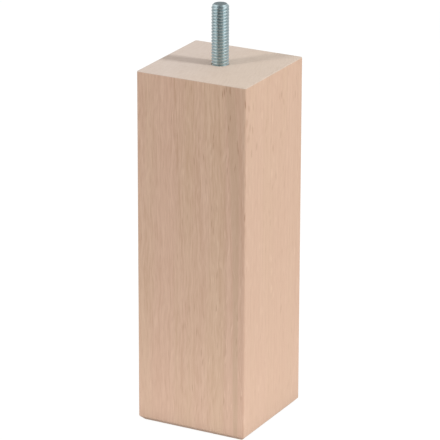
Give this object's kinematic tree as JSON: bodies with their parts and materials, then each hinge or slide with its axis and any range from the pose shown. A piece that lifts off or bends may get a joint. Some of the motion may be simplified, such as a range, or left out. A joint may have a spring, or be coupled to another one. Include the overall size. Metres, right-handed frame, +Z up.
{
  "type": "wooden furniture leg",
  "caption": "Square solid beech furniture leg that stands on a chamfered foot, with a zinc-plated threaded stud in the middle of its top face for screwing it under a sofa, bed or cabinet.",
  "frame": {"origin": "middle of the foot's sole, on the surface that the leg stands on", "axes": "+Z up the leg and out along the threaded stud; the four sides face +X, -X, +Y and -Y"},
  "size_m": [0.055, 0.055, 0.196],
  "materials": {
    "beech": "sanded, unvarnished",
    "zinc_plate": "bright zinc plate"
  },
  "bodies": {
    "root": {"leg_block": "beech", "hanger_bolt": "zinc_plate"}
  },
  "joints": []
}
